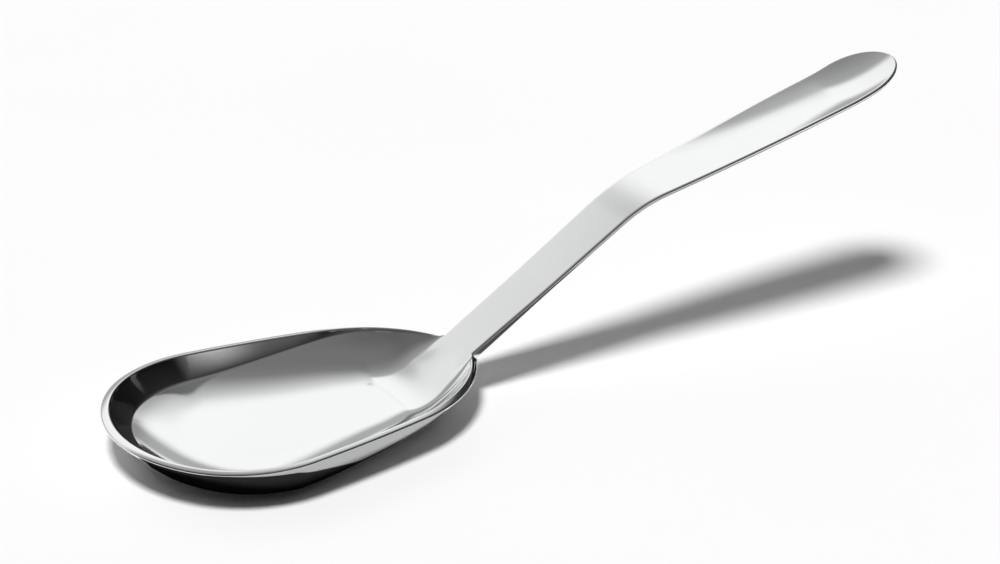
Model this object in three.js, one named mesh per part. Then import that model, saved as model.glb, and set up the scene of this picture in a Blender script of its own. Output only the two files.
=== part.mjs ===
// A rice serving spoon in polished stainless steel sheet: a shallow egg-shaped bowl, a bent strap handle
// and the flush-ground butt weld that joins them at the neck.
// Millimetres, +Z up, the handle toward +X. The origin is on the flat underside of the bowl.
import * as THREE from "three";
import { mergeVertices } from "three/addons/utils/BufferGeometryUtils.js";

// The sheet of the bowl, the thinner strap that the handle is rolled down to, and the round on their edges
const BOWL_SHEET = 2.2;
const STRAP_SHEET = 1.3;
const ROLLED_LENGTH = 30;
const EDGE_ROUND = 0.5;

// Bowl outline seen from above: four tangent arcs from the tip to the neck, mirrored about the XZ plane.
// The sweeps are in degrees, and the last arc runs on until the outline is as narrow as the neck.
const TIP_REACH = 50.8;
const TIP_RADIUS = 39.8;
const TIP_SWEEP = 36;
const CORNER_RADIUS = 32.0;
const CORNER_SWEEP = 60.6;
const SIDE_RADIUS = 368;
const SIDE_LENGTH = 37.25;
const SHOULDER_RADIUS = 42.8;
const NECK_WIDTH = 14.4;

// Bowl section: height of the rim, and the rise of the floor into the handle
const RIM_HEIGHT = 10.8;
const RAMP_RADIUS = 26;
const STRAP_SLOPE = 31;

// The wall leans out by its flare (degrees from upright), down to a knee at some depth below the rim.
// Under the knee the sheet runs in to the floor: a short straight share of its fall, then a cubic curve that
// lies down ever more slowly. The wall and its foot take at most a share of the way to
// the line of the neck's side.
const SIDE_FLARE = 17.5;
const TIP_FLARE = 45;
const NECK_FLARE = 51;
const SIDE_KNEE_DEPTH = 7.5;
const TIP_KNEE_DEPTH = 6.7;
const KNEE_RADIUS = 2.5;
const WALL_CURVE = 3;
const RIM_LEVEL = 0.7;
const SIDE_FOOT_RUN = 21;
const TIP_FOOT_RUN = 17;
const NECK_FOOT_RUN = 28;
const STRAIGHT_SHARE = 0.25;
const FOOT_SHARE = 1.0;

// Where the wall of the sides turns into that of the tip (degrees of the outline on each side of it), and
// the lengths over which it opens out, and its knee rises to the rim, up to a short way before the neck
const TIP_ZONE = 125;
const OPENING_LENGTH = 32;
const KNEE_RISE_LENGTH = 68;
const OPEN_LENGTH = 2.9;

// The columns of the floor round the tip meet at a point this far from it
const TIP_FAN_LENGTH = 36;

// Handle: a strap that leaves the neck at the strap slope, bends once and ends in a shallow dish
const BEND_REACH = 54.5;
const BEND_RADIUS = 50;
const UPPER_SLOPE = 12.3;
const HANDLE_LENGTH = 156;
const BEND_WIDTH = 16.7;
const END_WIDTH = 23.3;
const WIDEN_LENGTH = 75;
const END_ROUND_LENGTH = 14.7;
const DISH_DEPTH = 1.4;
const DISH_START = 66;
const END_LIFT = 3.3;
const END_LIFT_START = 133;

// Butt weld between the bowl and the handle, measured along the strap
const WELD_LENGTH = 2.0;

// Fineness of the surfaces
const OUTLINE_STEP = 4.0;
const WALL_ROWS = 2;
const KNEE_ROWS = 3;
const SLOPE_ROWS = 1;
const FOOT_ROWS = 5;
const FLOOR_ROWS = 3;
const STRAP_STEP = 7;
const STRAP_COLUMNS = 8;
const BEND_ROWS = 8;
const END_ROWS = 9;
const ROUND_STEPS = 2;

// Points closer than this are one point
const SAME_POINT = 1e-3;

const SIDEWAYS = new THREE.Vector3(0, 1, 0);
const radians = THREE.MathUtils.degToRad;

// Smooth step from 0 to 1
function ease(share) {
  return THREE.MathUtils.smoothstep(share, 0, 1);
}

// Normal angles, in degrees from +X, where the arcs of the outline end
const TIP_END = 180 - TIP_SWEEP;
const CORNER_END = TIP_END - CORNER_SWEEP;
const SIDE_END = CORNER_END - THREE.MathUtils.radToDeg(SIDE_LENGTH / SIDE_RADIUS);

// Place on the bowl outline, for the +Y side, where the outward normal stands at the given angle
function outlinePoint(angle) {
  const arcs = [
    [TIP_RADIUS, TIP_END],
    [CORNER_RADIUS, CORNER_END],
    [SIDE_RADIUS, SIDE_END],
    [SHOULDER_RADIUS, -90],
  ];
  let x = -TIP_REACH;
  let y = 0;
  let start = 180;
  for (const [radius, end] of arcs) {
    const stop = Math.max(end, angle);
    x += radius * (Math.cos(radians(stop)) - Math.cos(radians(start)));
    y += radius * (Math.sin(radians(stop)) - Math.sin(radians(start)));
    start = stop;
    if (angle >= end) break;
  }
  return { x, y };
}

// Normal angle at which the outline has narrowed to the neck
function findNeckAngle() {
  let low = 0;
  let high = SIDE_END;
  for (let i = 0; i < 60; i++) {
    const middle = (low + high) / 2;
    if (outlinePoint(middle).y < NECK_WIDTH / 2) low = middle;
    else high = middle;
  }
  return high;
}

const NECK_ANGLE = findNeckAngle();
const NECK_X = outlinePoint(NECK_ANGLE).x;

// The ramp: an arc from the flat floor up to the strap slope, then straight to the neck.
const SLOPE = radians(STRAP_SLOPE);
const RISE = RIM_HEIGHT - BOWL_SHEET / 2;
const ARC_RADIUS = Math.min(RAMP_RADIUS, RISE / (1 - Math.cos(SLOPE)));
const ARC_RUN = ARC_RADIUS * Math.sin(SLOPE);
const ARC_RISE = ARC_RADIUS * (1 - Math.cos(SLOPE));
const STRAIGHT_RUN = (RISE - ARC_RISE) / Math.tan(SLOPE);
const RAMP_START = NECK_X - STRAIGHT_RUN - ARC_RUN;
const STRAP_ALONG = new THREE.Vector3(Math.cos(SLOPE), 0, Math.sin(SLOPE));
const STRAP_NORMAL = new THREE.Vector3(-Math.sin(SLOPE), 0, Math.cos(SLOPE));

// Height of the middle of the sheet along the floor and the ramp
function floorHeight(x) {
  const onArc = THREE.MathUtils.clamp(x - RAMP_START, 0, ARC_RUN);
  const arc = ARC_RADIUS - Math.sqrt(ARC_RADIUS ** 2 - onArc ** 2);
  const straight = Math.max(x - RAMP_START - ARC_RUN, 0) * Math.tan(SLOPE);
  return BOWL_SHEET / 2 + arc + straight;
}

// A wall size at a place on the rim: its side value, blended to the tip value round the front
// and to the neck value over a length before the neck.
function wallSize(angle, x, { side, tip, neck, length }) {
  const towardTip = ease(1 - (180 - angle) / TIP_ZONE);
  const towardNeck = ease(1 - (NECK_X - OPEN_LENGTH - x) / length);
  return side + (tip - side) * towardTip + (neck - side) * towardNeck;
}

// Even steps from one value to another, without the first
function steps(from, to, count) {
  return Array.from({ length: count }, (_, i) => from + ((to - from) * (i + 1)) / count);
}

function lerpPoint(a, b, share) {
  return [a[0] + (b[0] - a[0]) * share, a[1] + (b[1] - a[1]) * share];
}

// The lesser of two lengths, with a smooth change from one to the other
function softLeast(a, b) {
  return (a ** -6 + b ** -6) ** (-1 / 6);
}

// Section of the wall as [run inward from the rim, height above the floor], from inside its rounded edge
// down to the floor.
function wallSection(rimAbove, flare, kneeDepth, fullRun, room) {
  const wall = Math.PI / 2 - flare;
  const edgeDrop = Math.min(EDGE_ROUND * Math.sin(wall), 0.7 * rimAbove);
  const edge = [edgeDrop / Math.tan(wall), rimAbove - edgeDrop];
  const depth = THREE.MathUtils.clamp(kneeDepth, 0.1 * edge[1], 0.85 * edge[1]);
  const below = edge[1] - depth;
  const knee = [edge[0] + depth * Math.tan(flare), below];
  const footRun = softLeast(fullRun, Math.max(FOOT_SHARE * room - knee[0], 0.1 * room));
  const low = wall - THREE.MathUtils.degToRad(WALL_CURVE);
  const slope = Math.min(Math.atan(((3 - 2 * STRAIGHT_SHARE) * below) / footRun), 0.98 * low);
  const footHeight = (1 - STRAIGHT_SHARE) * below;
  const footReach = (3 * footHeight) / Math.tan(slope);
  const turn = low - slope;
  const longest = Math.min((0.5 * depth) / Math.sin(low), (0.95 * (below - footHeight)) / Math.sin(slope));
  const tangent = Math.min(KNEE_RADIUS * Math.tan(turn / 2), longest);
  const kneeRadius = tangent / Math.tan(turn / 2);
  const kneeTop = [knee[0] - tangent * Math.cos(low), knee[1] + tangent * Math.sin(low)];
  const kneeEnd = [knee[0] + tangent * Math.cos(slope), knee[1] - tangent * Math.sin(slope)];
  const foot = [knee[0] + (below - footHeight) / Math.tan(slope), footHeight];
  const onKnee = (lean) => [
    kneeTop[0] + kneeRadius * (Math.sin(low) - Math.sin(lean)),
    kneeTop[1] + kneeRadius * (Math.cos(low) - Math.cos(lean)),
  ];
  const [run, drop] = [kneeTop[0] - edge[0], edge[1] - kneeTop[1]];
  const bow = Math.atan2(drop, run) - low;
  const onWall = (share) => {
    const out = bow * share * (1 - share);
    return [edge[0] + run * share - drop * out, edge[1] - drop * share - run * out];
  };
  const onFoot = (share) => [foot[0] + footReach * share, footHeight * (1 - share) ** 3];
  return [
    edge,
    ...steps(0, 1, WALL_ROWS).map(onWall),
    ...steps(low, slope, KNEE_ROWS).map(onKnee),
    ...steps(0, 1, SLOPE_ROWS).map((share) => lerpPoint(kneeEnd, foot, share)),
    ...steps(0, 1, FOOT_ROWS).map(onFoot),
  ];
}

// Points across the floor from the foot of the wall to the middle line of the bowl
function floorPoints(x, y) {
  const middle = THREE.MathUtils.clamp(x, TIP_FAN_LENGTH - TIP_REACH, NECK_X);
  const points = [];
  for (let i = 1; i <= FLOOR_ROWS; i++) {
    const share = i / FLOOR_ROWS;
    const px = x + (middle - x) * share;
    points.push(new THREE.Vector3(px, y * (1 - share), floorHeight(px)));
  }
  return points;
}

// Way from the rim to the line of the neck's side, or round the tip to the middle line
function footRoom(angle, y) {
  const line = (NECK_WIDTH / 2) * ease((150 - angle) / 60);
  return angle < 179 ? Math.max(y - line, 0.2) / Math.sin(radians(angle)) : TIP_RADIUS;
}

// Middle of the sheet from one place on the rim to the middle line, for the +Y side
function bowlColumn(angle) {
  const rim = outlinePoint(angle);
  const inward = [-Math.cos(radians(angle)), -Math.sin(radians(angle))];
  const height = RIM_HEIGHT - floorHeight(rim.x);
  const flare = { side: SIDE_FLARE, tip: TIP_FLARE, neck: NECK_FLARE, length: OPENING_LENGTH };
  const knee = { side: SIDE_KNEE_DEPTH, tip: TIP_KNEE_DEPTH, neck: 0, length: KNEE_RISE_LENGTH };
  const foot = { side: SIDE_FOOT_RUN, tip: TIP_FOOT_RUN, neck: NECK_FOOT_RUN, length: KNEE_RISE_LENGTH };
  const section = wallSection(
    height,
    radians(wallSize(angle, rim.x, flare)),
    wallSize(angle, rim.x, knee),
    wallSize(angle, rim.x, foot),
    footRoom(angle, rim.y),
  );
  const column = section.map(([run, above]) => {
    const x = rim.x + inward[0] * run;
    return new THREE.Vector3(x, rim.y + inward[1] * run, floorHeight(x) + above);
  });
  const last = column[column.length - 1];
  return column.concat(floorPoints(last.x, last.y));
}

// At the neck corner the wall has run out, so its rows share one point and the floor rows cross the neck.
function neckColumn() {
  const corner = new THREE.Vector3(NECK_X, NECK_WIDTH / 2 - EDGE_ROUND, RIM_HEIGHT);
  const rows = 1 + WALL_ROWS + KNEE_ROWS + SLOPE_ROWS + FOOT_ROWS;
  const column = [];
  for (let i = 0; i < rows; i++) column.push(corner.clone());
  for (let i = 1; i <= FLOOR_ROWS; i++) {
    const point = corner.clone();
    point.y *= 1 - i / FLOOR_ROWS;
    column.push(point);
  }
  return column;
}

// Normal angles along the outline from just past the neck corner to the tip, evenly spaced along each arc
function outlineAngles() {
  const arcs = [
    [SHOULDER_RADIUS, NECK_ANGLE, SIDE_END],
    [SIDE_RADIUS, SIDE_END, CORNER_END],
    [CORNER_RADIUS, CORNER_END, TIP_END],
    [TIP_RADIUS, TIP_END, 180],
  ];
  const angles = [];
  for (const [radius, start, end] of arcs) {
    const count = Math.ceil((radius * radians(end - start)) / OUTLINE_STEP);
    angles.push(...steps(start, end, count));
  }
  return angles;
}

function mirrored(column) {
  return column.map((p) => new THREE.Vector3(p.x, -p.y, p.z));
}

// Columns round the whole bowl, from the +Y neck corner past the tip to the -Y neck corner
function bowlGrid() {
  const half = [neckColumn(), ...outlineAngles().map(bowlColumn)];
  const other = half.slice(0, -1).reverse().map(mirrored);
  return half.concat(other);
}

const UPPER = radians(UPPER_SLOPE);
const BEND_TANGENT = BEND_RADIUS * Math.tan((SLOPE - UPPER) / 2);
const TO_BEND = BEND_REACH / Math.cos(SLOPE);
const BEND_START = TO_BEND - BEND_TANGENT;
const BEND_END = BEND_START + BEND_RADIUS * (SLOPE - UPPER);

// Middle line of the strap at a distance along it from the neck, with its slope there
function strapPoint(along) {
  const start = new THREE.Vector3(NECK_X, 0, RIM_HEIGHT);
  const toBend = Math.min(along, BEND_START);
  const point = start.addScaledVector(STRAP_ALONG, toBend);
  const turn = THREE.MathUtils.clamp((along - BEND_START) / BEND_RADIUS, 0, SLOPE - UPPER);
  const slope = SLOPE - turn;
  point.x += BEND_RADIUS * (Math.sin(SLOPE) - Math.sin(slope));
  point.z += BEND_RADIUS * (Math.cos(slope) - Math.cos(SLOPE));
  const beyond = Math.max(along - BEND_END, 0);
  point.x += beyond * Math.cos(UPPER);
  point.z += beyond * Math.sin(UPPER);
  return { point, slope };
}

// Half thickness of the strap: the bowl's sheet at the neck, rolled thinner along the handle
function strapHalfSheet(along) {
  const rolled = ease(along / ROLLED_LENGTH);
  return (BOWL_SHEET + (STRAP_SHEET - BOWL_SHEET) * rolled) / 2;
}

// Half width of the strap before its end is rounded
function strapHalfWidth(along) {
  const lower = Math.min(along / TO_BEND, 1);
  const upper = THREE.MathUtils.clamp((along - TO_BEND) / WIDEN_LENGTH, 0, 1);
  const width = NECK_WIDTH + (BEND_WIDTH - NECK_WIDTH) * lower;
  return (width + (END_WIDTH - BEND_WIDTH) * Math.sin((upper * Math.PI) / 2)) / 2;
}

// Half width of the flat of the strap, inside its rounded edge, with the round end
function flatHalfWidth(along) {
  const inside = strapHalfWidth(along) - EDGE_ROUND;
  const roundStart = HANDLE_LENGTH - END_ROUND_LENGTH;
  const share = (along - roundStart) / (END_ROUND_LENGTH - EDGE_ROUND);
  return inside * Math.sqrt(1 - THREE.MathUtils.clamp(share, 0, 1) ** 2);
}

// How far the sheet stands above the middle line: the dish raises the edges, the lift turns up the end
function raisedBy(along, y) {
  const dish = DISH_DEPTH * ease((along - DISH_START) / (HANDLE_LENGTH - DISH_START));
  const lift = Math.max(along - END_LIFT_START, 0) / (HANDLE_LENGTH - END_LIFT_START);
  return dish * (y / strapHalfWidth(along)) ** 2 + END_LIFT * lift ** 2;
}

// Middle of the sheet across the strap at one distance along it
function strapRow(along) {
  const { point, slope } = strapPoint(along);
  const normal = new THREE.Vector3(-Math.sin(slope), 0, Math.cos(slope));
  const half = flatHalfWidth(along);
  const row = [];
  for (let i = 0; i <= STRAP_COLUMNS; i++) {
    const y = half * (1 - (2 * i) / STRAP_COLUMNS);
    const place = point.clone().addScaledVector(normal, raisedBy(along, y));
    row.push(place.setY(y));
  }
  return row;
}

// Distances along the handle of its rows, closer together in the bend and round the end
function handleStations() {
  const roundStart = HANDLE_LENGTH - END_ROUND_LENGTH;
  const lower = Math.ceil((BEND_START - WELD_LENGTH) / STRAP_STEP);
  const upper = Math.ceil((roundStart - BEND_END) / STRAP_STEP);
  const quarter = steps(0, Math.PI / 2, END_ROWS);
  const end = quarter.map((a) => roundStart + (END_ROUND_LENGTH - EDGE_ROUND) * Math.sin(a));
  return [
    WELD_LENGTH,
    ...steps(WELD_LENGTH, BEND_START, lower),
    ...steps(BEND_START, BEND_END, BEND_ROWS),
    ...steps(BEND_END, roundStart, upper),
    ...end,
  ];
}

function crossOf([a, b, c]) {
  return b.clone().sub(a).cross(c.clone().sub(a));
}

// Index triples of the two triangles of every cell of a grid, all wound one way
function cellTriangles(grid) {
  const triples = [];
  for (let i = 0; i + 1 < grid.length; i++) {
    for (let j = 0; j + 1 < grid[i].length; j++) {
      triples.push([[i, j], [i + 1, j], [i + 1, j + 1]]);
      triples.push([[i, j], [i + 1, j + 1], [i, j + 1]]);
    }
  }
  return triples;
}

// The skin of a solid, as triangles
class Skin {
  constructor() {
    this.corners = [];
  }

  // Adds triangles that are wound one way. They are all turned round if they face away from the outward sum.
  add(triangles, outwards) {
    const facing = triangles.reduce((sum, t, i) => sum + crossOf(t).dot(outwards[i]), 0);
    for (const [a, b, c] of triangles) {
      const shortest = Math.min(a.distanceTo(b), b.distanceTo(c), c.distanceTo(a));
      if (shortest < SAME_POINT) continue;
      for (const p of facing > 0 ? [a, b, c] : [a, c, b]) this.corners.push(p.x, p.y, p.z);
    }
  }

  // A grid of points, with an outward direction for each
  addGrid(points, outwards) {
    const triples = cellTriangles(points);
    const triangles = triples.map((triple) => triple.map(([i, j]) => points[i][j]));
    this.add(triangles, triples.map(([[i, j]]) => outwards[i][j]));
  }

  // A flat convex outline
  addOutline(points, outward) {
    const [first, ...rest] = points;
    const triangles = rest.slice(1).map((p, k) => [first, rest[k], p]);
    this.add(triangles, triangles.map(() => outward));
  }

  geometry() {
    const raw = new THREE.BufferGeometry();
    raw.setAttribute("position", new THREE.Float32BufferAttribute(this.corners, 3));
    const merged = mergeVertices(raw, SAME_POINT / 10);
    merged.computeVertexNormals();
    return merged;
  }
}

// Upward normals of the middle of the sheet. Rows that meet in one point share one normal.
function gridNormals(grid) {
  const key = (p) => p.toArray().map((v) => Math.round(v / SAME_POINT)).join();
  const sums = new Map();
  const total = new THREE.Vector3();
  for (const triple of cellTriangles(grid)) {
    const triangle = triple.map(([i, j]) => grid[i][j]);
    const cross = crossOf(triangle);
    total.add(cross);
    for (const p of triangle) {
      const sum = sums.get(key(p)) ?? new THREE.Vector3();
      sums.set(key(p), sum.add(cross));
    }
  }
  const up = Math.sign(total.z);
  return grid.map((row) => row.map((p) => sums.get(key(p)).clone().normalize().multiplyScalar(up)));
}

// The two faces of the sheet, half its thickness above and below its middle
function addFaces(skin, { grid, normals, halves }) {
  for (const side of [1, -1]) {
    const face = grid.map((row, i) =>
      row.map((p, j) => p.clone().addScaledVector(normals[i][j], side * halves[i])),
    );
    skin.addGrid(face, normals.map((row) => row.map((n) => n.clone().multiplyScalar(side))));
  }
}

// Section of a rounded edge, from the upper face to the lower one
function edgeSection({ place, normal, outward, half }) {
  const points = [];
  const add = (out, up) =>
    points.push(place.clone().addScaledVector(outward, out).addScaledVector(normal, up));
  const flat = half - EDGE_ROUND;
  for (const side of [1, -1]) {
    for (let i = 0; i <= ROUND_STEPS; i++) {
      const share = side > 0 ? i : ROUND_STEPS - i;
      const angle = (share / ROUND_STEPS) * (Math.PI / 2);
      add(EDGE_ROUND * Math.sin(angle), side * (flat + EDGE_ROUND * Math.cos(angle)));
    }
  }
  return points;
}

// A rounded edge that follows a line of places along the border of the sheet
function addRoundedEdge(skin, line) {
  const sections = line.map(edgeSection);
  const outwards = sections.map((section, i) => section.map(() => line[i].outward));
  skin.addGrid(sections, outwards);
}

// A square-cut end of the sheet, to be butted: the flat between two rounded edges, and those edges' ends
function addButtEnd(skin, row, corners, outward) {
  const { normal, half } = corners[0];
  const faces = [half, -half].map((up) => row.map((p) => p.clone().addScaledVector(normal, up)));
  skin.addGrid(faces, faces.map((face) => face.map(() => outward)));
  for (const corner of corners) skin.addOutline(edgeSection(corner), outward);
}

// Direction out of the sheet at a border point, square to the border and to the sheet's normal
function borderOutward(along, normal, away) {
  const outward = along.clone().cross(normal).normalize();
  return outward.dot(away) < 0 ? outward.negate() : outward;
}

const POLISHED_STEEL = new THREE.MeshStandardMaterial({ color: 0xd4d6d8, metalness: 1, roughness: 0.15 });
const GROUND_WELD = new THREE.MeshStandardMaterial({ color: 0xcccfd1, metalness: 1, roughness: 0.22 });

function namedMesh(name, skin, material) {
  const mesh = new THREE.Mesh(skin.geometry(), material);
  mesh.name = name;
  return mesh;
}

// The rim is ground nearly level: there the two faces are as high as each other, though the wall leans.
function levelRim(place, normal) {
  const across = new THREE.Vector3(normal.x, normal.y, 0);
  const level = across.divideScalar(across.lengthSq());
  const open = ease(1 - (NECK_X - OPEN_LENGTH - place.x) / OPENING_LENGTH);
  return normal.clone().lerp(level, RIM_LEVEL * (1 - open));
}

// Border of a sheet along one line of its grid, as places for its rounded edge
function borderLine(line, normals, halves, away) {
  const last = line.length - 1;
  return line.map((place, i) => {
    const along = line[Math.min(i + 1, last)].clone().sub(line[Math.max(i - 1, 0)]);
    const outward = borderOutward(along, normals[i], away[i]);
    return { place, normal: normals[i], outward, half: halves[i] };
  });
}

// The bowl: rounded along the rim, square cut across the neck
function makeBowl() {
  const grid = bowlGrid();
  const normals = gridNormals(grid);
  const halves = grid.map(() => BOWL_SHEET / 2);
  const last = grid.length - 1;
  normals.forEach((row, i) => (row[0] = levelRim(grid[i][0], row[0])));
  for (const end of [0, last]) normals[end] = normals[end].map(() => STRAP_NORMAL);
  const upTheWall = grid.map((column) => column[0].clone().sub(column[1]));
  const firsts = (rows) => rows.map((row) => row[0]);
  const rim = borderLine(firsts(grid), firsts(normals), halves, upTheWall);
  rim[0].outward = SIDEWAYS;
  rim[last].outward = SIDEWAYS.clone().negate();
  const across = grid[0].concat(grid[last].slice(0, -1).reverse());
  const skin = new Skin();
  addFaces(skin, { grid, normals, halves });
  addRoundedEdge(skin, rim);
  addButtEnd(skin, across, [rim[0], rim[last]], STRAP_ALONG);
  return namedMesh("bowl", skin, POLISHED_STEEL);
}

// A length of the strap as a solid with rounded sides. Its first end, and its last if wanted, is square cut.
function strapSkin(stations, lastIsCut) {
  const grid = stations.map(strapRow);
  const normals = gridNormals(grid);
  const halves = stations.map(strapHalfSheet);
  const last = grid.length - 1;
  const cuts = lastIsCut ? [0, last] : [0];
  for (const i of cuts) normals[i] = normals[i].map(() => STRAP_NORMAL);
  const skin = new Skin();
  addFaces(skin, { grid, normals, halves });
  const sides = [
    [0, SIDEWAYS],
    [STRAP_COLUMNS, SIDEWAYS.clone().negate()],
  ];
  const borders = sides.map(([column, away]) => {
    const pick = (rows) => rows.map((row) => row[column]);
    const border = borderLine(pick(grid), pick(normals), halves, grid.map(() => away));
    for (const i of cuts) border[i].outward = away;
    if (!lastIsCut) border[last].outward = borderOutward(SIDEWAYS, normals[last][0], STRAP_ALONG);
    return border;
  });
  for (const border of borders) addRoundedEdge(skin, border);
  for (const i of cuts) {
    const outward = STRAP_ALONG.clone().multiplyScalar(i === 0 ? -1 : 1);
    addButtEnd(skin, grid[i], borders.map((border) => border[i]), outward);
  }
  return skin;
}

// The handle: square cut where it meets the weld, rounded along both sides and round the end
function makeHandle() {
  return namedMesh("handle", strapSkin(handleStations(), false), POLISHED_STEEL);
}

// The butt weld, ground flush with the sheet on every side
function makeWeld() {
  return namedMesh("neck_weld", strapSkin([0, WELD_LENGTH], true), GROUND_WELD);
}

const spoon = new THREE.Group();
spoon.name = "rice_serving_spoon";
spoon.add(makeBowl(), makeWeld(), makeHandle());

export default spoon;
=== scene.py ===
# Looks of the rice serving spoon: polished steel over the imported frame, on a white floor in soft light.
# Sizes are in millimetres, in the part's own frame: +Z up, the handle toward +X.
import math

import bmesh
import bpy
import numpy as np
from mathutils import Matrix, Vector


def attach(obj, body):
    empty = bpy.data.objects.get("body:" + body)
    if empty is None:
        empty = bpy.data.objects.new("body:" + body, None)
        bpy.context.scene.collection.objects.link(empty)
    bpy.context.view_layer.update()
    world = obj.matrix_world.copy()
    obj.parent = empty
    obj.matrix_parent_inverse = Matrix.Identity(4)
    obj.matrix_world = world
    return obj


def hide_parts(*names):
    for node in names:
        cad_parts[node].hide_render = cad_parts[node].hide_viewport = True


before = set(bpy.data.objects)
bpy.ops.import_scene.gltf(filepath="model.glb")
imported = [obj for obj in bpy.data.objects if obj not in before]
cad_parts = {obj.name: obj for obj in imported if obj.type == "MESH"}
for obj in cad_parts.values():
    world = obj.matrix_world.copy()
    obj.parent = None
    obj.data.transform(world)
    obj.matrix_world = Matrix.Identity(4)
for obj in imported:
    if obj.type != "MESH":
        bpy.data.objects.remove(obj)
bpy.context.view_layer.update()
MM = 0.001

# The sheet of the bowl, the thinner strap that the handle is rolled down to, and the round on their edges
BOWL_SHEET = 2.2
STRAP_SHEET = 1.3
ROLLED_LENGTH = 30
EDGE_ROUND = 0.5

# The bowl's outline from above: four tangent arcs from the tip to the neck. The sweeps are in degrees.
TIP_REACH = 50.8
TIP_RADIUS = 39.8
TIP_SWEEP = 36
CORNER_RADIUS = 32.0
CORNER_SWEEP = 60.6
SIDE_RADIUS = 368
SIDE_LENGTH = 37.25
SHOULDER_RADIUS = 42.8
NECK_WIDTH = 14.4

# Height of the rim, and the ramp from the floor up to the handle. This scene makes the ramp slightly hollow
# across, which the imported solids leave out.
RIM_HEIGHT = 10.8
RAMP_RADIUS = 26
RAMP_HOLLOW = 0.26
STRAP_SLOPE = math.radians(31)

# The wall: its flare in degrees from upright, its knee, and the foot that runs in from knee to floor.
# The wall is bowed by a few degrees, and its rim is ground nearly level.
SIDE_FLARE = 17.5
TIP_FLARE = 45
NECK_FLARE = 51
SIDE_KNEE_DEPTH = 7.5
TIP_KNEE_DEPTH = 6.7
KNEE_RADIUS = 2.5
WALL_CURVE = 3
RIM_LEVEL = 0.7
SIDE_FOOT_RUN = 21
TIP_FOOT_RUN = 17
NECK_FOOT_RUN = 28
STRAIGHT_SHARE = 0.25
FOOT_SHARE = 1.0

# Where the wall of the sides turns into that of the tip, in degrees of the outline, and the lengths over
# which it opens out, and its knee rises to the rim, up to a short way before the neck
TIP_ZONE = 125
OPENING_LENGTH = 32
KNEE_RISE_LENGTH = 68
OPEN_LENGTH = 2.9

# Limits of the wall's section where the wall is low, as shares of its height, slope or room there
MOST_EDGE = 0.7
LEAST_WALL = 0.1
MOST_WALL = 0.85
LEAST_FOOT = 0.1
MOST_SLOPE = 0.98
KNEE_ON_WALL = 0.5
KNEE_ON_FOOT = 0.95
SOFT_POWER = 6

# The foot has room up to a line, which is the neck's side along the sides and the middle line round the tip.
# The angles are those of the outline's normal, in degrees. Past the last one the room is the tip's radius.
LINE_START = 150
LINE_SWEEP = 60
TIP_MIDDLE = 179
LEAST_ROOM = 0.2

# Way from the tip to the point from which the floor's rows fan out to it
TIP_FAN_LENGTH = 36

# The handle: a strap that leaves the neck at the strap slope, bends once and ends in a shallow lifted dish
BEND_REACH = 54.5
BEND_RADIUS = 50
UPPER_SLOPE = math.radians(12.3)
HANDLE_LENGTH = 156
BEND_WIDTH = 16.7
END_WIDTH = 23.3
WIDEN_LENGTH = 75
END_ROUND_LENGTH = 14.7
DISH_DEPTH = 1.4
DISH_START = 66
END_LIFT = 3.3
END_LIFT_START = 133

# The butt weld between bowl and handle, along the strap
WELD_LENGTH = 2.0

# Fineness of the meshes
OUTLINE_STEP = 0.8
WALL_ROWS = 6
KNEE_ROWS = 12
SLOPE_ROWS = 5
FOOT_ROWS = 20
SECTION_POINTS = 1 + WALL_ROWS + KNEE_ROWS + SLOPE_ROWS + FOOT_ROWS
FLOOR_ROWS = 26
STRAP_STEP = 1.0
STRAP_COLUMNS = 40
BEND_ROWS = 20
END_ROWS = 30
ROUND_STEPS = 5
SAME_POINT = 1e-3
SLIVER = 1e-4


def ease(share):
    """Smooth step from 0 to 1."""
    share = clamp(share, 0.0, 1.0)
    return share * share * (3 - 2 * share)


def clamp(value, low, high):
    return min(max(value, low), high)


def steps(start, end, count):
    """Even steps from one value to another, without the first."""
    return [start + (end - start) * (i + 1) / count for i in range(count)]


# The bowl's outline, floor and wall

# Normal angles, in degrees from +X, where the arcs of the outline end
TIP_END = 180 - TIP_SWEEP
CORNER_END = TIP_END - CORNER_SWEEP
SIDE_END = CORNER_END - math.degrees(SIDE_LENGTH / SIDE_RADIUS)


def outline_point(angle):
    """Place on the outline's +Y side where the outward normal stands at this angle, in degrees from +X."""
    arcs = (
        (TIP_RADIUS, TIP_END),
        (CORNER_RADIUS, CORNER_END),
        (SIDE_RADIUS, SIDE_END),
        (SHOULDER_RADIUS, -90),
    )
    x, y, start = -TIP_REACH, 0.0, 180.0
    for radius, end in arcs:
        stop = max(end, angle)
        x += radius * (math.cos(math.radians(stop)) - math.cos(math.radians(start)))
        y += radius * (math.sin(math.radians(stop)) - math.sin(math.radians(start)))
        start = stop
        if angle >= end:
            break
    return x, y


def find_neck_angle():
    """Normal angle at which the outline has narrowed to the neck."""
    low, high = 0.0, SIDE_END
    for _ in range(60):
        middle = (low + high) / 2
        if outline_point(middle)[1] < NECK_WIDTH / 2:
            low = middle
        else:
            high = middle
    return high


# The ramp: an arc from the flat floor up to the strap slope, then straight to the neck
NECK_ANGLE = find_neck_angle()
NECK_X = outline_point(NECK_ANGLE)[0]
RISE = RIM_HEIGHT - BOWL_SHEET / 2
ARC_RUN = RAMP_RADIUS * math.sin(STRAP_SLOPE)
ARC_RISE = RAMP_RADIUS * (1 - math.cos(STRAP_SLOPE))
RAMP_START = NECK_X - (RISE - ARC_RISE) / math.tan(STRAP_SLOPE) - ARC_RUN


def floor_height(x):
    """Height of the middle of the sheet along the floor and the ramp."""
    on_arc = clamp(x - RAMP_START, 0, ARC_RUN)
    arc = RAMP_RADIUS - math.sqrt(RAMP_RADIUS**2 - on_arc**2)
    return BOWL_SHEET / 2 + arc + max(x - RAMP_START - ARC_RUN, 0) * math.tan(STRAP_SLOPE)


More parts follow.
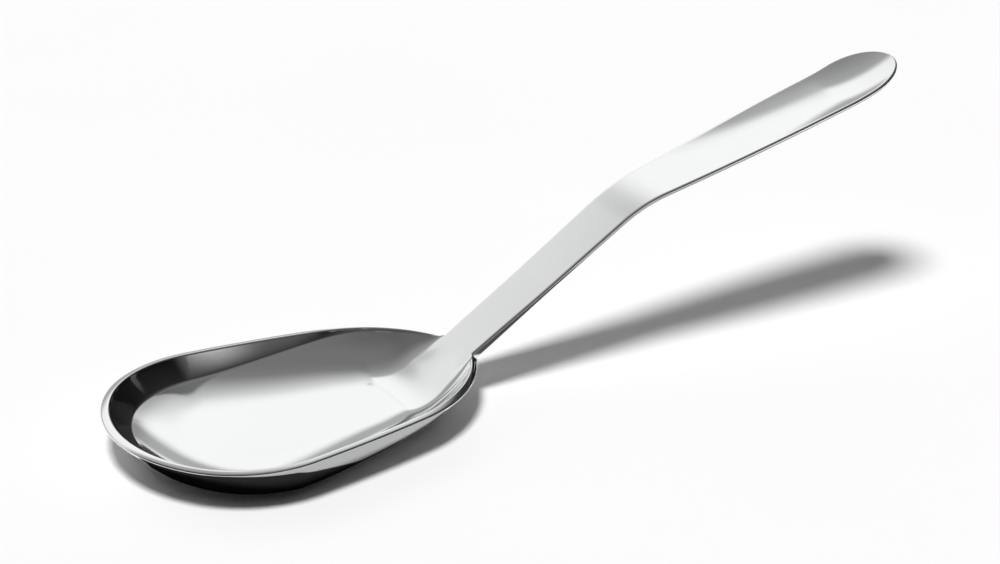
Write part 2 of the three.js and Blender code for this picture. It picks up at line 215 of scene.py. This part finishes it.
def ramp_hollow(x, y, run):
    """How far the hollow ramp rises beside its middle line. It levels off aside and fades at the rim."""
    half = NECK_WIDTH / 2
    along = ease((NECK_X - x) / half) * ease((x - RAMP_START) / (NECK_X - RAMP_START))
    aside = abs(y) / half
    across = aside**2 if aside < 1 else 2 - math.exp(2 - 2 * aside)
    return RAMP_HOLLOW * along * across * ease(run / half)


def wall_size(angle, x, side, tip, neck, length):
    """A size of the wall: its side value, blended into the tip's at the front and the neck's before it."""
    toward_tip = ease(1 - (180 - angle) / TIP_ZONE)
    toward_neck = ease(1 - (NECK_X - OPEN_LENGTH - x) / length)
    return side + (tip - side) * toward_tip + (neck - side) * toward_neck


def soft_least(a, b):
    """The lesser of two lengths, with a smooth change from one to the other."""
    return (a**-SOFT_POWER + b**-SOFT_POWER) ** (-1 / SOFT_POWER)


def bowed_wall(edge, top, low):
    """Points down the wall, which is steeper at its edge and leans by the low angle at the knee."""
    run, drop = top[0] - edge[0], edge[1] - top[1]
    bow = math.atan2(drop, run) - low
    points = []
    for share in steps(0, 1, WALL_ROWS):
        out = bow * share * (1 - share)
        points.append((edge[0] + run * share - drop * out, edge[1] - drop * share - run * out))
    return points


def knee_arc(top, radius, low, slope):
    """Points round the knee, from the lower end of the wall to the slope under it."""
    points = []
    for lean in steps(low, slope, KNEE_ROWS):
        run = radius * (math.sin(low) - math.sin(lean))
        rise = radius * (math.cos(low) - math.cos(lean))
        points.append((top[0] + run, top[1] + rise))
    return points


def foot_line(end, foot, reach):
    """Points straight down from the knee's end, then along the foot, which lies down ever more slowly."""
    points = []
    for share in steps(0, 1, SLOPE_ROWS):
        points.append((end[0] + (foot[0] - end[0]) * share, end[1] + (foot[1] - end[1]) * share))
    for share in steps(0, 1, FOOT_ROWS):
        points.append((foot[0] + reach * share, foot[1] * (1 - share) ** 3))
    return points


def wall_section(rim_above, flare, knee_depth, full_run, room):
    """Section of the wall as (run inward, height above the floor), from its rounded edge to the floor."""
    wall = math.pi / 2 - flare
    low = wall - math.radians(WALL_CURVE)
    edge_drop = min(EDGE_ROUND * math.sin(wall), MOST_EDGE * rim_above)
    edge = (edge_drop / math.tan(wall), rim_above - edge_drop)
    depth = clamp(knee_depth, LEAST_WALL * edge[1], MOST_WALL * edge[1])
    below = edge[1] - depth
    knee = (edge[0] + depth * math.tan(flare), below)
    foot_run = soft_least(full_run, max(FOOT_SHARE * room - knee[0], LEAST_FOOT * room))
    slope = min(math.atan((3 - 2 * STRAIGHT_SHARE) * below / foot_run), MOST_SLOPE * low)
    foot_height = (1 - STRAIGHT_SHARE) * below
    half_turn = (low - slope) / 2
    on_wall = KNEE_ON_WALL * depth / math.sin(low)
    on_foot = KNEE_ON_FOOT * (below - foot_height) / math.sin(slope)
    tangent = min(KNEE_RADIUS * math.tan(half_turn), on_wall, on_foot)
    top = (knee[0] - tangent * math.cos(low), knee[1] + tangent * math.sin(low))
    end = (knee[0] + tangent * math.cos(slope), knee[1] - tangent * math.sin(slope))
    foot = (knee[0] + (below - foot_height) / math.tan(slope), foot_height)
    points = [edge] + bowed_wall(edge, top, low)
    points += knee_arc(top, tangent / math.tan(half_turn), low, slope)
    return points + foot_line(end, foot, 3 * foot_height / math.tan(slope))


def foot_room(angle, y):
    """Way from the rim to the line of the neck's side, or round the tip to the middle line."""
    line = NECK_WIDTH / 2 * ease((LINE_START - angle) / LINE_SWEEP)
    return max(y - line, LEAST_ROOM) / math.sin(math.radians(angle)) if angle < TIP_MIDDLE else TIP_RADIUS


def bowl_column(angle):
    """Middle of the sheet from one place on the rim to the middle line, on the +Y side."""
    x, y = outline_point(angle)
    inward = (-math.cos(math.radians(angle)), -math.sin(math.radians(angle)))
    section = wall_section(
        RIM_HEIGHT - floor_height(x),
        math.radians(wall_size(angle, x, SIDE_FLARE, TIP_FLARE, NECK_FLARE, OPENING_LENGTH)),
        wall_size(angle, x, SIDE_KNEE_DEPTH, TIP_KNEE_DEPTH, 0, KNEE_RISE_LENGTH),
        wall_size(angle, x, SIDE_FOOT_RUN, TIP_FOOT_RUN, NECK_FOOT_RUN, KNEE_RISE_LENGTH),
        foot_room(angle, y),
    )
    column = []
    for run, above in section:
        px, py = x + inward[0] * run, y + inward[1] * run
        column.append((px, py, floor_height(px) + above + ramp_hollow(px, py, run)))
    foot_run = section[-1][0]
    foot_x, foot_y, _ = column[-1]
    middle = clamp(foot_x, TIP_FAN_LENGTH - TIP_REACH, NECK_X)
    way = math.hypot(middle - foot_x, foot_y)
    for share in steps(0, 1, FLOOR_ROWS):
        px, py = foot_x + (middle - foot_x) * share, foot_y * (1 - share)
        column.append((px, py, floor_height(px) + ramp_hollow(px, py, foot_run + way * share)))
    return column


def neck_column():
    """At the neck the wall has run out: its rows share one point, and the floor's rows cross the neck."""
    side = NECK_WIDTH / 2 - EDGE_ROUND
    column = [(NECK_X, side, RIM_HEIGHT)] * SECTION_POINTS
    return column + [(NECK_X, side * (1 - share), RIM_HEIGHT) for share in steps(0, 1, FLOOR_ROWS)]


def bowl_grid():
    """Middle of the bowl's sheet, with one column for each place round the rim."""
    arcs = (
        (SHOULDER_RADIUS, NECK_ANGLE, SIDE_END),
        (SIDE_RADIUS, SIDE_END, CORNER_END),
        (CORNER_RADIUS, CORNER_END, TIP_END),
        (TIP_RADIUS, TIP_END, 180),
    )
    half = [neck_column()]
    for radius, start, end in arcs:
        count = math.ceil(radius * math.radians(end - start) / OUTLINE_STEP)
        half += [bowl_column(angle) for angle in steps(start, end, count)]
    half = np.array(half)
    other = half[-2::-1] * (1, -1, 1)
    return np.concatenate([half, other])


# The strap of the handle

# Ways along the strap from the neck to the bend: to its corner, and to the ends of its arc
BEND_TANGENT = BEND_RADIUS * math.tan((STRAP_SLOPE - UPPER_SLOPE) / 2)
TO_BEND = BEND_REACH / math.cos(STRAP_SLOPE)
BEND_START = TO_BEND - BEND_TANGENT
BEND_END = BEND_START + BEND_RADIUS * (STRAP_SLOPE - UPPER_SLOPE)


def strap_point(along):
    """Place on the strap's middle line and its slope there, at a way along it from the neck."""
    turn = clamp((along - BEND_START) / BEND_RADIUS, 0, STRAP_SLOPE - UPPER_SLOPE)
    slope = STRAP_SLOPE - turn
    lower = min(along, BEND_START)
    upper = max(along - BEND_END, 0)
    x = NECK_X + lower * math.cos(STRAP_SLOPE) + BEND_RADIUS * (math.sin(STRAP_SLOPE) - math.sin(slope))
    z = RIM_HEIGHT + lower * math.sin(STRAP_SLOPE) + BEND_RADIUS * (math.cos(slope) - math.cos(STRAP_SLOPE))
    return x + upper * math.cos(UPPER_SLOPE), z + upper * math.sin(UPPER_SLOPE), slope


def strap_half_sheet(along):
    return (BOWL_SHEET + (STRAP_SHEET - BOWL_SHEET) * ease(along / ROLLED_LENGTH)) / 2


def strap_half_width(along):
    lower = min(along / TO_BEND, 1)
    upper = clamp((along - TO_BEND) / WIDEN_LENGTH, 0, 1)
    width = NECK_WIDTH + (BEND_WIDTH - NECK_WIDTH) * lower
    return (width + (END_WIDTH - BEND_WIDTH) * math.sin(upper * math.pi / 2)) / 2


def strap_row(along):
    """Row of points across the strap, which is dished and lifted toward its end."""
    x, z, slope = strap_point(along)
    share = (along - HANDLE_LENGTH + END_ROUND_LENGTH) / (END_ROUND_LENGTH - EDGE_ROUND)
    half = (strap_half_width(along) - EDGE_ROUND) * math.sqrt(max(1 - clamp(share, 0, 1) ** 2, 0))
    dish = DISH_DEPTH * ease((along - DISH_START) / (HANDLE_LENGTH - DISH_START))
    lift = max(along - END_LIFT_START, 0) / (HANDLE_LENGTH - END_LIFT_START)
    row = []
    for i in range(STRAP_COLUMNS + 1):
        y = half * (1 - 2 * i / STRAP_COLUMNS)
        up = dish * (y / strap_half_width(along)) ** 2 + END_LIFT * lift**2
        row.append((x - up * math.sin(slope), y, z + up * math.cos(slope)))
    return row


def handle_stations():
    """Ways along the strap where the handle has a row of points, from the weld to its round end."""
    round_start = HANDLE_LENGTH - END_ROUND_LENGTH
    round_reach = END_ROUND_LENGTH - EDGE_ROUND
    lower = math.ceil((BEND_START - WELD_LENGTH) / STRAP_STEP)
    upper = math.ceil((round_start - BEND_END) / STRAP_STEP)
    stations = [WELD_LENGTH] + steps(WELD_LENGTH, BEND_START, lower)
    stations += steps(BEND_START, BEND_END, BEND_ROWS)
    stations += steps(BEND_END, round_start, upper)
    return stations + [round_start + round_reach * math.sin(a) for a in steps(0, math.pi / 2, END_ROWS)]


# From the middle of a sheet to a solid mesh


def unit(vectors):
    return vectors / np.maximum(np.linalg.norm(vectors, axis=1, keepdims=True), 1e-12)


def grid_normals(grid):
    """Upward normals of a grid of points. Points that coincide share one normal."""
    rows, columns, _ = grid.shape
    ids = np.unique(np.round(grid.reshape(-1, 3), 4), axis=0, return_inverse=True)[1].reshape(rows, columns)
    sums = np.zeros((ids.max() + 1, 3))
    a, b, c, d = grid[:-1, :-1], grid[1:, :-1], grid[1:, 1:], grid[:-1, 1:]
    ia, ib, ic, id_ = ids[:-1, :-1], ids[1:, :-1], ids[1:, 1:], ids[:-1, 1:]
    for cross, corners in (
        (np.cross(b - a, c - a), (ia, ib, ic)),
        (np.cross(c - a, d - a), (ia, ic, id_)),
    ):
        for corner in corners:
            np.add.at(sums, corner.ravel(), cross.reshape(-1, 3))
    sums *= np.sign(sums[:, 2].sum())
    return unit(sums)[ids]


def edge_sections(line, normals, outward, halves):
    """Rounded edge along a line of border points, as a grid from the upper face to the lower one."""
    sections = []
    for side in (1, -1):
        for i in range(ROUND_STEPS + 1):
            share = i if side > 0 else ROUND_STEPS - i
            angle = share / ROUND_STEPS * math.pi / 2
            up = side * (halves - EDGE_ROUND + EDGE_ROUND * math.cos(angle))
            sections.append(line + outward * EDGE_ROUND * math.sin(angle) + normals * up[:, None])
    return np.stack(sections, axis=1)


def border_outward(line, normals, away):
    """Ways out of the sheet, square to its border, on the side that points away."""
    outward = unit(np.cross(np.gradient(line, axis=0), normals))
    return outward * np.sign((outward * away).sum(axis=1))[:, None]


class Builder:
    """Collects grids of points as quads, and end faces that keep a sharp border."""

    def __init__(self):
        self.points = []
        self.faces = []
        self.ends = []

    def grid(self, grid):
        rows, columns, _ = grid.shape
        base = len(self.points)
        self.points += grid.reshape(-1, 3).tolist()
        for i in range(rows - 1):
            for j in range(columns - 1):
                k = base + i * columns + j
                self.faces.append((k, k + columns, k + columns + 1, k + 1))

    def sheet(self, grid, normals, halves):
        """The two faces of a sheet on either side of its middle."""
        for side in (1, -1):
            self.grid(grid + side * normals * halves[:, None, None])

    def end(self, outline):
        base = len(self.points)
        self.points += outline.tolist()
        self.ends.append(tuple(range(base, base + len(outline))))

    def make(self, name):
        """The finished piece. Its end faces are marked by their material index until they are made flat."""
        mesh = bpy.data.meshes.new(name)
        shape = bmesh.new()
        verts = [shape.verts.new(Vector(p) * MM) for p in self.points]
        for face in self.faces:
            shape.faces.new([verts[i] for i in face])
        for face in self.ends:
            shape.faces.new([verts[i] for i in face]).material_index = 1
        bmesh.ops.remove_doubles(shape, verts=shape.verts, dist=SAME_POINT * MM)
        bmesh.ops.dissolve_degenerate(shape, edges=shape.edges, dist=SLIVER * MM)
        bmesh.ops.recalc_face_normals(shape, faces=shape.faces)
        for face in shape.faces:
            face.smooth = face.material_index == 0
            if not face.smooth:
                face.material_index = 0
                for edge in face.edges:
                    edge.smooth = False
        shape.to_mesh(mesh)
        shape.free()
        piece = bpy.data.objects.new(name, mesh)
        bpy.context.scene.collection.objects.link(piece)
        return piece


STRAP_NORMAL = np.array((-math.sin(STRAP_SLOPE), 0, math.cos(STRAP_SLOPE)))
SIDEWAYS = np.array((0.0, 1.0, 0.0))


def end_outline(row, half, first, last):
    """Outline of a square-cut end: its upper face, one rounded edge, its lower face, the other edge."""
    upper = row + STRAP_NORMAL * half
    lower = row - STRAP_NORMAL * half
    return np.concatenate([upper, last[1:-1], lower[::-1], first[::-1][1:-1]])


def level_rim(place, normal):
    """The rim is ground nearly level: there both faces are about as high, though the wall leans."""
    across = normal * (1, 1, 0)
    level = across / max((across**2).sum(), 1e-9)
    opened = ease(1 - (NECK_X - OPEN_LENGTH - place[0]) / OPENING_LENGTH)
    return normal + (level - normal) * RIM_LEVEL * (1 - opened)


def make_bowl():
    grid = bowl_grid()
    normals = grid_normals(grid)
    normals[:, 0] = [level_rim(place, normal) for place, normal in zip(grid[:, 0], normals[:, 0])]
    normals[0] = normals[-1] = STRAP_NORMAL
    halves = np.full(len(grid), BOWL_SHEET / 2)
    outward = border_outward(grid[:, 0], normals[:, 0], grid[:, 0] - grid[:, 1])
    outward[0] = SIDEWAYS
    outward[-1] = -SIDEWAYS
    rim = edge_sections(grid[:, 0], normals[:, 0], outward, halves)
    builder = Builder()
    builder.sheet(grid, normals, halves)
    builder.grid(rim)
    first = SECTION_POINTS - 1
    across = np.concatenate([grid[0][first:], grid[-1][first:-1][::-1]])
    builder.end(end_outline(across, BOWL_SHEET / 2, rim[0], rim[-1]))
    return builder.make("bowl_steel")


def make_strap(name, stations, last_is_cut):
    """A stretch of the strap. Its first end is cut square, and its last one is cut square or round."""
    grid = np.array([strap_row(along) for along in stations])
    normals = grid_normals(grid)
    halves = np.array([strap_half_sheet(along) for along in stations])
    cuts = [0, -1] if last_is_cut else [0]
    for i in cuts:
        normals[i] = STRAP_NORMAL
    builder = Builder()
    builder.sheet(grid, normals, halves)
    edges = []
    for column, away in ((0, SIDEWAYS), (-1, -SIDEWAYS)):
        outward = border_outward(grid[:, column], normals[:, column], away)
        for i in cuts:
            outward[i] = away
        if not last_is_cut:
            outward[-1] = np.cross(normals[-1, column], -SIDEWAYS)
            outward[-1] *= np.sign(outward[-1][0])
        edges.append(edge_sections(grid[:, column], normals[:, column], outward, halves))
        builder.grid(edges[-1])
    for i in cuts:
        builder.end(end_outline(grid[i], halves[i], edges[0][i], edges[1][i]))
    return builder.make(name)


# Steel

# Tones and roughness. The polishing lines vary the roughness, and soft clouds darken the tone a little.
POLISHED_TONE = (0.88, 0.885, 0.89)
POLISHED_ROUGHNESS = 0.075
WELD_TONE = (0.875, 0.88, 0.885)
WELD_ROUGHNESS = 0.085
LINE_ROUGHNESS = 0.02
LINE_SCALE = (60, 2600, 2600)
LINE_STRENGTH = 0.02
LINE_DEPTH = 0.00002
CLOUD_SCALE = 45.0
CLOUD_SHADE = 0.985


def node(tree, kind, inputs=None, **settings):
    """A new node with its settings, and with each input set to a value or linked to a socket."""
    made = tree.nodes.new(kind)
    for key, value in settings.items():
        setattr(made, key, value)
    for key, value in (inputs or {}).items():
        if isinstance(value, bpy.types.NodeSocket):
            tree.links.new(value, made.inputs[key])
        else:
            made.inputs[key].default_value = value
    return made


def ramp(tree, factor, stops):
    """Colour ramp from (position, tone) stops. A tone is a grey or a colour."""
    made = node(tree, "ShaderNodeValToRGB", {"Fac": factor})
    elements = made.color_ramp.elements
    while len(elements) < len(stops):
        elements.new(0.5)
    for element, (position, value) in zip(elements, stops):
        element.position = position
        element.color = (*value, 1) if isinstance(value, tuple) else (value, value, value, 1)
    return made.outputs["Color"]


def noise(tree, place, scale, detail):
    made = node(tree, "ShaderNodeTexNoise", {"Vector": place, "Scale": scale, "Detail": detail})
    return made.outputs["Fac"]


def steel(name, tone, roughness):
    """Polished steel: fine polishing lines along X vary its roughness, soft clouds vary its tone."""
    material = bpy.data.materials.new(name)
    material.use_nodes = True
    tree = material.node_tree
    tree.nodes.clear()
    place = node(tree, "ShaderNodeTexCoord").outputs["Object"]
    stretched = node(tree, "ShaderNodeMapping", {"Vector": place, "Scale": LINE_SCALE}).outputs["Vector"]
    clouds = noise(tree, place, scale=CLOUD_SCALE, detail=3.0)
    lines = noise(tree, stretched, scale=1.0, detail=2.0)
    shaded = tuple(t * CLOUD_SHADE for t in tone)
    colour = ramp(tree, clouds, [(0.3, shaded), (0.7, tone)])
    reach = {"From Min": 0.25, "From Max": 0.75}
    reach |= {"To Min": roughness - LINE_ROUGHNESS, "To Max": roughness + LINE_ROUGHNESS}
    rough = node(tree, "ShaderNodeMapRange", {"Value": lines} | reach).outputs["Result"]
    relief = {"Height": lines, "Strength": LINE_STRENGTH, "Distance": LINE_DEPTH}
    bump = node(tree, "ShaderNodeBump", relief).outputs["Normal"]
    look = {"Base Color": colour, "Roughness": rough, "Metallic": 1.0, "Normal": bump}
    shader = node(tree, "ShaderNodeBsdfPrincipled", look)
    out = node(tree, "ShaderNodeOutputMaterial")
    tree.links.new(shader.outputs["BSDF"], out.inputs["Surface"])
    return material


POLISHED = steel("polished_steel", POLISHED_TONE, POLISHED_ROUGHNESS)
WELD = steel("ground_weld", WELD_TONE, WELD_ROUGHNESS)
WELD_STATIONS = [0, WELD_LENGTH / 2, WELD_LENGTH]

for piece, node_name, slot, material in (
    (make_bowl(), "bowl", "polished_steel", POLISHED),
    (make_strap("neck_weld_steel", WELD_STATIONS, True), "neck_weld", "ground_weld", WELD),
    (make_strap("handle_steel", handle_stations(), False), "handle", "polished_steel", POLISHED),
):
    piece.data.materials.append(material)
    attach(piece, "root")
    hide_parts(node_name)


# Floor, and cards that paint shade into the steel's reflections

FLOOR_HALF = 3000
FLOOR_LEVEL = -0.05
FLOOR_TONES = (0.9, 0.91)
MATT_ROUGHNESS = 0.9
MATT_CLOUD_SCALE = 8.0

# Cards round the near side of the bowl, between two normal angles of its outline. They paint shade into the
# floor that the bowl's outer wall reflects. They start a little way in under the rim. The dark one reaches
# out less and less toward the neck, the grey one far all along.
CARD_LEVEL = 0.02
CARD_TONE_STEP = 0.005
CARD_STEPS = 60
CARD_INSIDE = 8
DARK_START = 0.8
DARK_SLANT = 0.2
DARK_LEAST = 0.1
DARK_MOST = 16
GREY_REACH = 60

# Cards before the handle, which paint shade into the floor that the strap's near edge reflects:
# the name, the places along X where it starts and ends, and the tone
EDGE_SHADE_CARDS = (("painted_shade_edge_card", 64, 116, 0.07), ("painted_soft_shade_edge_card", 116, 320, 0.36))
EDGE_CARD_NEAR = -170
EDGE_CARD_FAR = -12


def flat_mesh(name, corners, faces, height):
    mesh = bpy.data.meshes.new(name)
    mesh.from_pydata([(x * MM, y * MM, height * MM) for x, y in corners], [], faces)
    made = bpy.data.objects.new(name, mesh)
    bpy.context.scene.collection.objects.link(made)
    return made


def matt(name, low, high):
    """A matt surface with faint clouds in its tone."""
    material = bpy.data.materials.new(name)
    material.use_nodes = True
    tree = material.node_tree
    place = node(tree, "ShaderNodeTexCoord").outputs["Object"]
    clouds = noise(tree, place, scale=MATT_CLOUD_SCALE, detail=2.0)
    shader = tree.nodes["Principled BSDF"]
    tree.links.new(ramp(tree, clouds, [(0.3, low), (0.7, high)]), shader.inputs["Base Color"])
    shader.inputs["Roughness"].default_value = MATT_ROUGHNESS
    shader.inputs["Specular IOR Level"].default_value = 0.0
    return material


def make_floor():
    half = FLOOR_HALF
    corners = [(-half, -half), (half, -half), (half, half), (-half, half)]
    floor = flat_mesh("floor", corners, [(0, 1, 2, 3)], FLOOR_LEVEL)
    floor.data.materials.append(matt("white_floor", *FLOOR_TONES))


def lay_shade_card(name, corners, faces, height, tone):
    """A card of painted shade, which the steel reflects in place of the floor. Only the steel sees it."""
    card = flat_mesh(name, corners, faces, height)
    card.data.materials.append(matt(name, tone, tone + CARD_TONE_STEP))
    card.visible_camera = card.visible_diffuse = card.visible_shadow = False


def dark_reach(x):
    return clamp(DARK_START - DARK_SLANT * x, DARK_LEAST - CARD_INSIDE, DARK_MOST)


def grey_reach(x):
    return GREY_REACH


def make_bowl_shade_card(name, reach, first, last, height, tone):
    """A card of painted shade round the near side of the bowl, from one normal angle of its outline to
    another.
    """
    corners = []
    for angle in np.linspace(first, last, CARD_STEPS):
        x, y = outline_point(angle)
        out = Vector((math.cos(math.radians(angle)), math.sin(math.radians(angle))))
        for step in (-CARD_INSIDE, reach(x)):
            corners.append((x + out.x * step, -(y + out.y * step)))
    faces = [(i, i + 1, i + 3, i + 2) for i in range(0, len(corners) - 2, 2)]
    lay_shade_card(name, corners, faces, height, tone)


def make_edge_shade_cards():
    """Cards before the handle, which paint shade into the reflection along the strap's edge."""
    near, far = EDGE_CARD_NEAR, EDGE_CARD_FAR
    for name, left, right, tone in EDGE_SHADE_CARDS:
        corners = [(left, near), (right, near), (right, far), (left, far)]
        lay_shade_card(name, corners, [(0, 1, 2, 3)], CARD_LEVEL, tone)


# Studio

# Ways in the studio: on past the spoon from the camera, to its right, to the window, and across the window
BEHIND = Vector((0.528, 0.849, 0.0))
RIGHT = Vector((0.849, -0.528, 0.0))
WINDOW = Vector((0.155, -0.988, 0.0))
ACROSS = Vector((0.988, 0.155, 0.0))

# Tones by height, from the horizon at 0 to straight above at 1. A grey strip runs low along the backdrop.
LOW_BACKDROP = [(0.0, 0.95), (0.17, 0.95), (0.24, 0.4), (0.36, 0.4), (0.425, 0.95)]
LEFT_RISE = [(0.6, 0.95), (0.635, 0.87), (0.66, 0.6), (0.69, 0.39), (0.77, 0.33), (0.88, 0.24), (1.0, 0.18)]
MIDDLE_RISE = [(0.46, 0.94), (0.5, 0.84), (0.54, 0.73), (0.58, 0.64)]
MIDDLE_TOP = [(0.7, 0.45), (0.8, 0.3), (0.88, 0.2), (1.0, 0.16)]
ROOM = [(0.0, 0.003), (0.2, 0.008), (0.5, 0.03), (0.75, 0.08), (0.9, 0.14), (1.0, 0.17)]

# Where one part of the studio gives way to another, as parts of the ways above: from none to all of it
MIDDLE_EDGE = (-0.095, -0.045)
FAR_LEFT_EDGE = (-0.05, -0.62)
FAR_LEFT_SHADE = 0.2
BACKDROP_EDGE = (-0.1, 0.35)
BACKDROP_RIGHT_EDGE = (0.42, 0.02)
WINDOW_EDGE = (0.5, 0.8)

# The window's light: a wide faint glow and a narrow bright one, as half width, top and tone
GLOWS = ((0.31, 0.55, 0.11), (0.055, 0.36, 0.48))
GLOW_FOOT = 0.06
STUDIO_STRENGTH = 1.12
BLACK = (0, 0, 0, 1)


def share_of(tree, value, start, end):
    """Smooth share from 0 at the start to 1 at the end."""
    made = node(tree, "ShaderNodeMapRange", {"Value": value, "From Min": start, "From Max": end})
    made.interpolation_type = "SMOOTHSTEP"
    return made.outputs["Result"]


def product(tree, first, second):
    return node(tree, "ShaderNodeMath", {0: first, 1: second}, operation="MULTIPLY").outputs["Value"]


def mix(tree, share, first, second):
    made = node(tree, "ShaderNodeMix", {"Factor": share, 6: first, 7: second}, data_type="RGBA")
    return made.outputs[2]


def toward(tree, way, aim):
    """How much of a way goes toward an aim."""
    made = node(tree, "ShaderNodeVectorMath", {0: way, 1: aim}, operation="DOT_PRODUCT")
    return made.outputs["Value"]


def backdrop_and_room(tree, way, height):
    """A bright backdrop behind the spoon, darker upward and to the far left, in a dark room."""
    sideways = toward(tree, way, RIGHT)
    left = ramp(tree, height, LOW_BACKDROP + LEFT_RISE)
    middle = ramp(tree, height, LOW_BACKDROP + MIDDLE_RISE + MIDDLE_TOP)
    backdrop = mix(tree, share_of(tree, sideways, *MIDDLE_EDGE), left, middle)
    far_left = product(tree, share_of(tree, sideways, *FAR_LEFT_EDGE), FAR_LEFT_SHADE)
    backdrop = mix(tree, far_left, backdrop, BLACK)
    behind = share_of(tree, toward(tree, way, BEHIND), *BACKDROP_EDGE)
    leftward = share_of(tree, sideways, *BACKDROP_RIGHT_EDGE)
    return mix(tree, product(tree, behind, leftward), ramp(tree, height, ROOM), backdrop)


def add_window(tree, way, height, seen):
    """The glow of one window in the front of the room."""
    aside = toward(tree, way, ACROSS)
    across = node(tree, "ShaderNodeMath", {0: aside}, operation="ABSOLUTE").outputs["Value"]
    front = share_of(tree, toward(tree, way, WINDOW), *WINDOW_EDGE)
    for width, top, tone in GLOWS:
        glow = product(tree, share_of(tree, across, width, 0.0), share_of(tree, height, top, GLOW_FOOT))
        seen = mix(tree, product(tree, glow, front), seen, (tone, tone, tone, 1))
    return seen


def make_world():
    world = bpy.data.worlds.new("studio")
    bpy.context.scene.world = world
    world.use_nodes = True
    tree = world.node_tree
    tree.nodes.clear()
    way = node(tree, "ShaderNodeTexCoord").outputs["Generated"]
    height = node(tree, "ShaderNodeSeparateXYZ", {"Vector": way}).outputs["Z"]
    seen = add_window(tree, way, height, backdrop_and_room(tree, way, height))
    light = node(tree, "ShaderNodeBackground", {"Color": seen, "Strength": STUDIO_STRENGTH})
    out = node(tree, "ShaderNodeOutputWorld")
    tree.links.new(light.outputs["Background"], out.inputs["Surface"])


# Lamp and camera, with the camera's places in metres

LAMP_AIM = Vector((0.21, 0.06, -1.0))
LAMP_SPREAD = math.radians(17)
LAMP_STRENGTH = 2.84
CAMERA_LENS = 121.5
CAMERA_SENSOR = 36.0
CAMERA_PLACE = Vector((-0.3755, -0.7077, 0.4159))
CAMERA_TARGET = Vector((0.05557, -0.01527, 0.03559))


def make_lamp():
    """A soft even lamp from above for the floor and its shadow, not seen in the steel."""
    data = bpy.data.lights.new("lamp", "SUN")
    data.angle = LAMP_SPREAD
    data.energy = LAMP_STRENGTH
    lamp = bpy.data.objects.new("lamp", data)
    lamp.rotation_euler = LAMP_AIM.to_track_quat("-Z", "Y").to_euler()
    lamp.visible_glossy = False
    bpy.context.scene.collection.objects.link(lamp)


def make_camera():
    data = bpy.data.cameras.new("camera")
    data.lens = CAMERA_LENS
    data.sensor_width = CAMERA_SENSOR
    camera = bpy.data.objects.new("camera", data)
    turn = (CAMERA_TARGET - CAMERA_PLACE).to_track_quat("-Z", "Y")
    camera.matrix_world = Matrix.Translation(CAMERA_PLACE) @ turn.to_matrix().to_4x4()
    bpy.context.scene.collection.objects.link(camera)
    bpy.context.scene.camera = camera


make_floor()
# Painted shade seen only in the steel: the dark card darkens the reflected floor in the bowl's near outer
# wall, the grey card dims it further round.
make_bowl_shade_card("painted_shade_card", dark_reach, first=78, last=178, height=CARD_LEVEL, tone=0.02)
make_bowl_shade_card("painted_soft_shade_card", grey_reach, first=55, last=140, height=0.0, tone=0.5)
# Painted shade seen only in the steel: dark and grey cards darken the floor reflected along the handle's
# near edge.
make_edge_shade_cards()
make_world()
make_lamp()
make_camera()
bpy.context.scene.view_settings.view_transform = "Standard"
